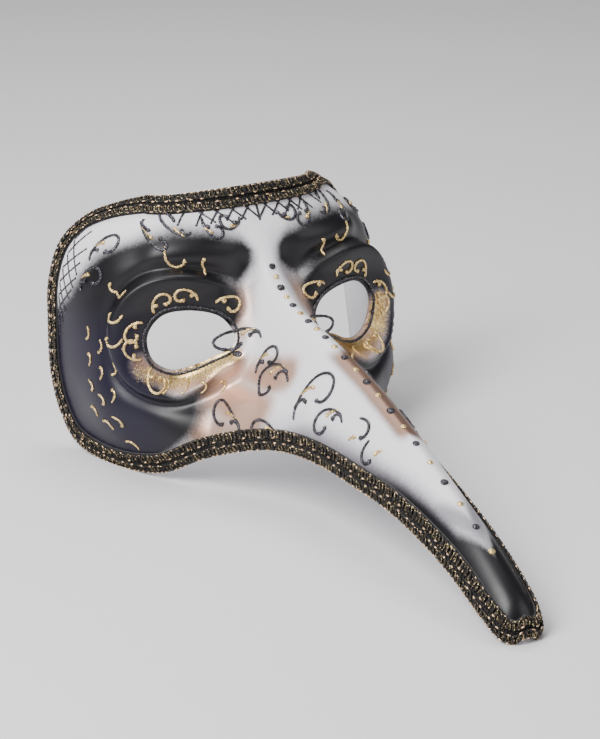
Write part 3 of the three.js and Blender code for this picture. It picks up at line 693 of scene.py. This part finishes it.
# ---------------------------------------------------------------- tubes
def tube(centre, radius, sides, closed, up=None, flat=1.0):
    """Points and faces of a tube round a line, with rounded ends when it is open."""
    centre = np.asarray(centre, float)
    n = len(centre)
    radius = np.broadcast_to(np.asarray(radius, float), n)
    if closed:
        tangent = unit(np.roll(centre, -1, 0) - np.roll(centre, 1, 0))
    else:
        tangent = unit(np.gradient(centre, axis=0))
    up = np.broadcast_to(np.array([0.1, 0.2, 1.0]) if up is None else up, (n, 3))
    across = unit(np.cross(tangent, up))
    rise = np.cross(across, tangent)
    turn = 2 * math.pi * np.arange(sides) / sides
    cos, sin = np.cos(turn)[None, :, None], np.sin(turn)[None, :, None]
    ring = cos * across[:, None] + flat * sin * rise[:, None]
    points = centre[:, None] + radius[:, None, None] * ring
    k = np.arange(n if closed else n - 1)
    j = np.arange(sides)
    i0 = (k[:, None] * sides + j).ravel()
    i1 = (k[:, None] * sides + (j + 1) % sides).ravel()
    j0 = (((k + 1) % n)[:, None] * sides + j).ravel()
    j1 = (((k + 1) % n)[:, None] * sides + (j + 1) % sides).ravel()
    faces = [tuple(f) for f in np.stack([i0, i1, j1, j0], 1).tolist()]
    points = points.reshape(-1, 3)
    if not closed:
        faces.append(tuple(range(sides - 1, -1, -1)))
        faces.append(tuple((n - 1) * sides + s for s in range(sides)))
    return points, faces


class Pile:
    """Tubes and blobs gathered into one piece."""

    def __init__(self):
        self.points, self.faces, self.count = [], [], 0

    def put(self, points, faces):
        self.points.append(points)
        self.faces.extend(tuple(v + self.count for v in f) for f in faces)
        self.count += len(points)

    def make(self, name, mat):
        return make(name, np.vstack(self.points), self.faces, mat)


# ---------------------------------------------------------------- braid
def edge_line(spacing):
    """Places along the whole edge, and the direction in over the skin at each."""
    last_row, last_column = ROWS - 1, COLUMNS - 1
    corners = [(last_row, last_column / 2), (last_row, 0), (0, 0), (0, last_column),
               (last_row, last_column), (last_row, last_column / 2)]
    line = []
    for a, b in zip(corners, corners[1:]):
        steps = int(max(abs(a[0] - b[0]), abs(a[1] - b[1])))
        line += [(a[0] + (b[0] - a[0]) * k / steps, a[1] + (b[1] - a[1]) * k / steps) for k in range(steps)]
    line = np.array(line)
    points = skin(line)
    run = np.concatenate([[0], np.cumsum(np.linalg.norm(np.roll(points, -1, 0) - points, axis=1))])
    count = int(round(run[-1] / spacing))
    wanted = np.arange(count) * run[-1] / count
    closed = np.vstack([line, line[:1]])
    places = np.stack([np.interp(wanted, run, closed[:, n]) for n in range(2)], -1)
    at = skin(places)
    wide = 10
    tangent = unit(np.roll(at, -wide, 0) - np.roll(at, wide, 0))
    inward = unit(-np.cross(tangent, normal_at(places)))
    return places, inward, run[-1]


edge_places, edge_inward, edge_length = edge_line(0.8)
TRACK_STEP = 0.6  # between the lines of the braid's track
INSETS = np.arange(0, BRAID_WIDTH + 1.3, TRACK_STEP)
braid_grid = []
walking = edge_places
for n in range(len(INSETS)):
    braid_grid.append(walking)
    facing = normal_at(walking)
    onward = unit(edge_inward - (edge_inward * facing).sum(-1, keepdims=True) * facing)
    walking = walk(walk(walking, onward * TRACK_STEP / 2), onward * TRACK_STEP / 2)
braid_grid = np.stack(braid_grid, 1)


def on_braid(run, inset, lift):
    """Points over the braid's track: run mm along the edge, inset from it, at a lift."""
    count = len(edge_places)
    s = (np.asarray(run) / edge_length * count) % count
    i = s.astype(int) % count
    u = (s - s.astype(int))[..., None]
    w = np.clip(np.asarray(inset) / TRACK_STEP, 0, len(INSETS) - 1.001)
    j = w.astype(int)
    v = (w - j)[..., None]
    nxt = (i + 1) % count
    corner = [skin(braid_grid[a, b]) for a, b in ((i, j), (i, j + 1), (nxt, j), (nxt, j + 1))]
    facing = unit(normal_at(braid_grid[i, j]) * (1 - u) + normal_at(braid_grid[nxt, j]) * u)
    flat = ((1 - u) * ((1 - v) * corner[0] + v * corner[1]) + u * ((1 - v) * corner[2] + v * corner[3]))
    spill = np.minimum(np.asarray(inset), 0)[..., None]
    out = unit(corner[0] - corner[1])
    return flat - spill * out + facing * np.asarray(lift)[..., None], facing


def braid_strand(name, mat, inset, half, pitch, loop, lift, rise, radius, phase, stations, sides,
                 replaced=()):
    """A thread that runs along the edge in loops."""
    turns = int(round(edge_length / pitch))
    total = turns * stations
    k = np.arange(total)
    angle = 2 * math.pi * k / stations + phase
    wobble = 1 + 0.06 * np.sin(0.37 * k / stations) + 0.05 * np.sin(1.9 * k / stations)
    run = edge_length * k / total + loop * np.sin(angle)
    centre, facing = on_braid(run, inset + half * wobble * np.cos(angle), lift + rise * np.sin(angle + 0.6))
    points, faces = tube(centre, radius, sides, True, facing)
    piece = make(name, points, faces, mat)
    if replaced:
        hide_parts(*replaced)
    return piece


def braid_band():
    """The dark cloth under the loops."""
    insets = np.array([0.15, 0.3, 4.0, 4.9, 5.8, 9.3, 9.45])
    lifts = np.array([0.02, 0.5, 0.7, 0.1, 0.7, 0.5, 0.02])
    run = np.arange(len(edge_places)) * edge_length / len(edge_places)
    grid = on_braid(run[:, None] + 0 * insets, insets + 0 * run[:, None], lifts + 0 * run[:, None])[0]
    n, m = grid.shape[:2]
    index = np.arange(n * m).reshape(n, m)
    nxt = np.roll(index, -1, 0)
    faces = np.stack([index[:, :-1], nxt[:, :-1], nxt[:, 1:], index[:, 1:]], -1).reshape(-1, 4)
    lid = np.stack([index[:, 0], index[:, -1], nxt[:, -1], nxt[:, 0]], -1)
    return make("braid_backing", grid, np.vstack([faces, lid]), BACKING)


def build_braid():
    braid_band()
    outer = braid_strand("braid_outer_loops", BLACK_THREAD, 2.35, 1.55, 2.7, 1.15, 1.1, 0.4, 0.52, 0.0, 14, 5,
                         ("braid_outer_row",))
    outer_top = braid_strand("braid_outer_gold", GOLD_THREAD, 2.35, 1.6, 1.9, 0.8, 1.4, 0.4, 0.22, 2.2, 12, 4)
    inner = braid_strand("braid_inner_loops", BLACK_THREAD, 7.35, 1.5, 2.7, 1.15, 1.1, 0.4, 0.5, 1.1, 14, 5,
                         ("braid_inner_row",))
    inner_top = braid_strand("braid_inner_gold", GOLD_THREAD, 7.35, 1.6, 1.9, 0.8, 1.4, 0.4, 0.27, 3.3, 12, 4)
    core = braid_strand("braid_core_cord", BLACK_THREAD, 4.85, 0.3, 1.5, 0.05, 0.5, 0.25, 0.3, 0.0, 8, 5,
                        ("braid_core",))
    stitches = Pile()
    pitch = edge_length / round(edge_length / 2.7)
    for inset, lift, skip in ((0.7, 1.0, 1), (4.0, 1.4, 2), (5.9, 1.4, 3), (8.9, 1.2, 2)):
        for k in range(0, int(round(edge_length / pitch)), skip):
            if rng.random() < 0.12:
                continue
            run = (k + 0.15 * rng.standard_normal()) * pitch + np.linspace(-0.85, 0.85, 4)
            centre, facing = on_braid(run, inset + 0 * run, lift + 0.3 * np.cos(run - run.mean()) - 0.1)
            stitches.put(*tube(centre, [0.15, 0.38, 0.38, 0.15], 6, False, facing))
    stitches.make("braid_stitches", STITCH)


build_braid()


# ---------------------------------------------------------------- glitter glue
HALF_COLUMN = (COLUMNS - 1) // 2
half_points = skin_points[:, HALF_COLUMN:]
# each view's rightward, upward and toward-the-viewer directions
VIEWS = {
    "side": np.array([(0, -1, 0), (0, 0, 1), (1, 0, 0)], float),
    "front": np.array([(1, 0, 0), (0, 0, 1), (0, -1, 0)], float),
    "eye": np.array([EYE_OUT, (0, 0, 1), (EYE_OUT[1], -EYE_OUT[0], 0)], float),
}


def placed(view, uv):
    """Grid places on the +X side of points drawn on the side view (f, z) or front view (x, z),
    or on the view that faces the eye hole."""
    uv = np.atleast_2d(np.asarray(uv, float))
    flat = half_points.reshape(-1, 3)
    rightward, upward, toward = VIEWS[view]
    shown, outermost = np.stack([flat @ rightward, flat @ upward], -1), flat @ toward
    gaps = ((uv[:, None] - shown) ** 2).sum(-1)
    cost = np.where(gaps < 4, -outermost + gaps, 1e6 + gaps)
    best = cost.argmin(1)
    wide = half_points.shape[1]
    rc = np.stack([best // wide, best % wide + HALF_COLUMN], -1).astype(float)
    for _ in range(14):
        at = skin(rc)
        off = (uv[:, :1] - (at @ rightward)[:, None]) * rightward + (
            uv[:, 1:] - (at @ upward)[:, None]) * upward
        size = np.linalg.norm(off, axis=1, keepdims=True)
        rc = walk(rc, off * np.minimum(1, 1.5 / np.maximum(size, 1e-6)))
        rc[:, 0] = np.clip(rc[:, 0], 0, ROWS - 1)
        rc[:, 1] = np.clip(rc[:, 1], HALF_COLUMN, COLUMNS - 1)
    return rc


def other_side(points):
    return points * [-1, 1, 1]


def resample(points, step):
    run = arc(points)
    count = max(int(run[-1] / step), 5)
    wanted = np.linspace(0, run[-1], count)
    return np.stack([np.interp(wanted, run, points[:, n]) for n in range(points.shape[1])], -1)


def glue(pile, rc, width, head=1.5, tail=0.6):
    """A raised line of glue along grid places on both sides, with a blob at its start."""
    n = len(rc)
    share = np.linspace(0, 1, n)
    run = arc(skin(rc))
    radius = width / 2 * (1 + (tail - 1) * share ** 2)
    radius = np.maximum(radius, head * width / 2 * bell((run - 0.55 * head * width) / (0.6 * width)))
    radius = radius * (1 + 0.13 * np.sin(5.1 * run + rng.uniform(0, 6)) + 0.07 * rng.standard_normal(n))
    end_cap = np.minimum(1, np.sqrt(np.maximum(np.minimum(run, run[-1] - run) / (0.5 * width) + 0.05, 0)))
    radius = radius * end_cap
    facing = normal_at(rc)
    points, faces = tube(skin(rc, 0.3 * radius), radius, 8, False, facing, 0.8)
    pile.put(points, faces)
    pile.put(other_side(points), [tuple(reversed(f)) for f in faces])


def blob(pile, rc, radius, height, both=True):
    """A round drop of glue."""
    rc = np.asarray(rc, float).reshape(1, 2)
    centre, facing = skin(rc)[0], normal_at(rc)[0]
    u = unit(np.cross(facing, [0.3, 0.1, 1.0]))
    v = np.cross(facing, u)
    rings, sides = 6, 18
    points = []
    for k in range(rings):
        turn = math.pi / 2 * k / rings
        a = 2 * math.pi * np.arange(sides) / sides
        r = radius * math.cos(turn) * (1 + 0.05 * np.sin(3 * a + 1.7 * radius))
        up = height * math.sin(turn) - 0.35 * (k == 0)
        points.append(centre + r[:, None] * (np.cos(a)[:, None] * u + np.sin(a)[:, None] * v) + facing * up)
    points = np.vstack(points + [centre + facing * height])
    faces = []
    for k in range(rings - 1):
        for s in range(sides):
            t = (s + 1) % sides
            faces.append((k * sides + s, k * sides + t, (k + 1) * sides + t, (k + 1) * sides + s))
    top = rings * sides
    faces += [((rings - 1) * sides + s, (rings - 1) * sides + (s + 1) % sides, top) for s in range(sides)]
    faces.append(tuple(range(sides - 1, -1, -1)))
    pile.put(points, faces)
    if both:
        pile.put(other_side(points), [tuple(reversed(f)) for f in faces])


gold_lines, black_lines, hair_lines = Pile(), Pile(), Pile()


def flourish(start, length, heading, bend):
    """A stroke that curls tightest at its start. It turns by bend degrees in all."""
    share = np.linspace(0, 1, 26)
    angle = np.radians(heading + bend * (2 * share - share ** 2))
    steps = length / 25 * np.stack([np.cos(angle), np.sin(angle)], -1)
    return np.array(start, float) + np.vstack([[0, 0], np.cumsum(steps[:-1], 0)])


# Drawings in half heights, as black strokes and gold strokes. A scroll is open to its right.
SCROLL = (
    [flourish((0.1, 0.55), 4.1, 30, 290), flourish((0.1, 0), 1.3, 170, 190)],
    [flourish((-0.35, 0.5), 1.0, 225, 70)],
)
GOLD_SCROLL = ([], SCROLL[0])
HOOK = ([flourish((0.1, 0.4), 2.9, 40, 200)], [flourish((0, 0.1), 0.9, 230, 50)])
GOLD_HOOK = ([], HOOK[0])
COMMA = ([], [flourish((0, 0.8), 2.0, -20, -110)])
SMILE = ([], [flourish((-1.2, 0.7), 3.4, -100, 190)])


def on_nose(ahead, share):
    """The side view of a point that far ahead, and that share of the way from ridge to edge."""
    path = half_points[:, int(share * HALF_COLUMN)]
    return np.array([ahead, path[np.abs(-path[:, 1] - ahead).argmin(), 2]])


def by_eye(out, up):
    """The eye view of a point, measured from the middle of the eye hole."""
    return np.array([EYE_CENTRE @ EYE_OUT + out, EYE_CENTRE[2] + up])


def stamp(motif, view, centre, size, turn=0.0, flip=1, black=1.45, gold=1.35):
    """Draws a motif on one of the views, turned by degrees, on both sides."""
    cos, sin = math.cos(math.radians(turn)), math.sin(math.radians(turn))
    for pile, strokes, width in ((black_lines, motif[0], black), (gold_lines, motif[1], gold)):
        for points in strokes:
            line = points * [size, flip * size] @ np.array([[cos, sin], [-sin, cos]]) + centre
            glue(pile, placed(view, resample(line, 0.4)), width, 1.55, 0.75)


# Gold scrolls over the goggle ring, from the nose to the temple, all open to the eye.
for k in range(6):
    around = 125 - 35 * k
    turn = math.radians(around)
    centre = by_eye((EYE_LENGTH / 2 + 6) * math.cos(turn), (EYE_HEIGHT / 2 + 6) * math.sin(turn))
    stamp(GOLD_SCROLL, "eye", centre, 4.5, around + 180, 1 if k % 2 else -1, gold=1.4)
# Small ones on the lower lid.
for k in range(4):
    stamp(GOLD_HOOK, "eye", by_eye(12 - 8 * k, -EYE_HEIGHT / 2 - 4), 2.5, 90, 1, gold=1.1)
# A smile and a comma on the dark brow, and hooks behind the ring.
stamp(SMILE, "eye", by_eye(9, 31), 5)
stamp(COMMA, "eye", by_eye(-6, 31), 4)
for up in (24, 14, 4):
    stamp(GOLD_HOOK, "eye", by_eye(34, up), 4, 0, -1)
# Black scrolls under the forehead lattice and on the temple.
for k in range(4):
    stamp(SCROLL, "front", (12 + 11 * k, 106 - k), 4, 100 + 20 * k, 1 if k % 2 else -1)
for up in (92, 79):
    stamp(SCROLL, "side", (29, up), 6, -60)
# The scrolls down the side of the nose, one after another to the tip.
for k, (ahead, share, size) in enumerate((
    (79, 0.2, 6), (91, 0.3, 6), (106, 0.4, 9), (130, 0.5, 10), (150, 0.5, 7), (166, 0.5, 5), (180, 0.5, 5),
)):
    stamp(SCROLL if size > 5 else HOOK, "side", on_nose(ahead, share), size, -50, 1 if k % 2 else -1)
# The two round scrolls on the cheek, and the drop in the corner of the eye.
for out in (-20, -38):
    stamp(SCROLL, "eye", by_eye(out, -27), 6, -90)
for along in (-1, 0, 1):
    blob(black_lines, placed("eye", by_eye(-EYE_LENGTH / 2 - 2 + along, -5))[0], 1.6 - 0.3 * abs(along), 0.8)
# Rows of small gold commas down the dark temple and cheek.
for row, top in ((34, 58), (42, 54), (50, 46)):
    for k in range(4):
        stamp(COMMA, "side", (row + 3 * k, top - 11 * k), 3.5, 20 * k, 1 if k % 2 else -1, gold=1.15)


def lattice(view, low_line, high_line, spans, slant, step, width):
    """Crossing hair lines between two curves, each with a dot at its far end."""
    for way in (-1, 1):
        for at in np.arange(spans[0], spans[1], step):
            share = np.linspace(0, 1, 26)[:, None]
            start = np.array([at, high_line(at)])
            other = at + way * slant
            end = np.array([other, low_line(other)])
            if view == "side":
                start = np.array([high_line(at), at])
                end = np.array([low_line(other), other])
            line = start + share * (end - start)
            jitter = rng.normal(0, 0.25, 2)
            glue(hair_lines, placed(view, resample(line + jitter * share, 0.6)), width, 1.0, 0.9)
            blob(hair_lines, placed(view, line[-1] + jitter)[0], 0.62, 0.4)


lattice("front", lambda x: 106.5 - 0.05 * abs(x - 12),
        lambda x: 113.4 - 0.09 * max(x - 6, 0), (1, 31), 7.5, 6.5, 1.0)
lattice("side", lambda z: np.interp(z, [50, 68, 80, 92, 100], [12, 18, 22, 21, 15]),
        lambda z: np.interp(z, [54, 66, 80, 95], [10.5, 9.6, 9.0, 9.8]), (62, 94), 11.0, 6.0, 0.8)

for pile, name, mat, slot_name in (
    (gold_lines, "gold_scrolls", GOLD_GLITTER, "gold_glitter"),
    (black_lines, "black_scrolls", BLACK_GLITTER, "black_glitter"),
    (hair_lines, "black_lattice", BLACK_GLITTER, "black_glitter"),
):
    pile.make(name, mat)

# Beads round the eye holes, just outside their edge.
tangent = unit(np.roll(eye_outline, -1, 0) - np.roll(eye_outline, 1, 0))
out_way = np.stack([-tangent[:, 1], tangent[:, 0]], -1)
if ((eye_outline + out_way) ** 2).sum() < (eye_outline ** 2).sum():
    out_way = -out_way
ring_view = eye_outline + out_way * 1.7
ring_view = resample(np.vstack([ring_view, ring_view[:1]]), 0.5)[:-1]
flat_view = eye_view(skin_points[:, HALF_COLUMN:])
near_eye = skin_points[:, HALF_COLUMN:, 1] < EYE_CENTRE[1] + FACE_DEPTH / 4
ring_rc = []
for spot in ring_view:
    gaps = np.where(near_eye, ((flat_view - spot) ** 2).sum(-1), 1e9)
    i, j = np.unravel_index(gaps.argmin(), gaps.shape)
    ring_rc.append((i, j + HALF_COLUMN))
ring_rc = np.array(ring_rc, float)
for _ in range(10):
    off = ring_view - eye_view(skin(ring_rc))
    ring_rc = walk(ring_rc, off[:, :1] * EYE_OUT + off[:, 1:] * np.array([0, 0, 1.0]))
run = arc(skin(ring_rc))
for sign, side in ((1, "left"), (-1, "right")):
    size = 0.62 * (1 + 0.16 * np.sin(4.2 * run) + 0.1 * rng.standard_normal(len(run)))
    points, faces = tube(skin(ring_rc, 0.2), size, 8, True, normal_at(ring_rc))
    if sign < 0:
        points, faces = other_side(points), [tuple(reversed(f)) for f in faces]
    piece = make(side + "_eye_glitter", points, faces, BLACK_GLITTER)
    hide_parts(side + "_eye_bead")

# Dots down the ridge, where the CAD dots are.
for colour, radius, mat in (("black", 1.65, BLACK_GLITTER), ("gold", 1.4, GOLD_GLITTER)):
    for n in range(1, 12):
        node = f"{colour}_dot_{n:02d}"
        centre = (np.array(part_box(node)[0]) + np.array(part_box(node)[1])) * 500
        centre[1] -= shift_y
        ridge = skin_points[:, HALF_COLUMN]
        row = np.linalg.norm(ridge - centre, axis=1).argmin()
        pile = Pile()
        wide = radius * rng.uniform(0.86, 1.08)
        blob(pile, (row, HALF_COLUMN), wide, 0.75, False)
        piece = pile.make("glue_" + node, mat)
        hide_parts(node)

for node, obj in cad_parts.items():
    if "tie_" in node:
        obj.data.materials.clear()
        obj.data.materials.append(FELT if "patch" in node else RIBBON)

# ---------------------------------------------------------------- stage, light and camera
floor_material, _, _, _ = material("floor", 0.85, 0.0, (0.8, 0.79, 0.81))
floor_mesh = bpy.data.meshes.new("floor")
floor_mesh.from_pydata([(-4, -3, 0), (4, -3, 0), (4, 5, 0), (-4, 5, 0)], [], [(0, 1, 2, 3)])
floor_mesh.materials.append(floor_material)
floor = bpy.data.objects.new("floor", floor_mesh)
bpy.context.scene.collection.objects.link(floor)
floor.location.z = -0.0001


def lamp(name, position, target, size, power, colour=(1, 1, 1)):
    data = bpy.data.lights.new(name, "AREA")
    data.shape = "RECTANGLE"
    data.size, data.size_y = size
    data.energy = power
    data.color = colour
    light = bpy.data.objects.new(name, data)
    bpy.context.scene.collection.objects.link(light)
    light.location = position
    aim = Vector(target) - Vector(position)
    light.rotation_euler = aim.to_track_quat("-Z", "Y").to_euler()
    return light


lamp("key", (-0.75, -0.25, 0.85), (0, 0.02, 0.04), (0.5, 0.7), 21)
lamp("fill", (0.8, -0.9, 0.7), (0, 0, 0.05), (0.9, 0.9), 5)
lamp("top", (0.1, 0.5, 1.1), (0, 0, 0.05), (0.9, 0.6), 9)
world = bpy.data.worlds.new("world")
world.use_nodes = True
world.node_tree.nodes["Background"].inputs["Color"].default_value = (0.9, 0.89, 0.93, 1)
world.node_tree.nodes["Background"].inputs["Strength"].default_value = 0.13
bpy.context.scene.world = world

back = Vector((-0.4394, -0.8248, 0.3559)).normalized()
target = Vector((-0.0136, (shift_y - 120.6) / 1000, 0.0599))
right = Vector((0, 0, 1)).cross(back).normalized()
turn = Matrix((right, back.cross(right), back)).transposed()
camera_data = bpy.data.cameras.new("camera")
camera_data.lens = 133.4
camera_data.sensor_width = 36
camera_data.clip_start = 0.05
camera = bpy.data.objects.new("camera", camera_data)
camera.matrix_world = Matrix.Translation(target + back * 1.128) @ turn.to_4x4()
bpy.context.scene.collection.objects.link(camera)
bpy.context.scene.camera = camera
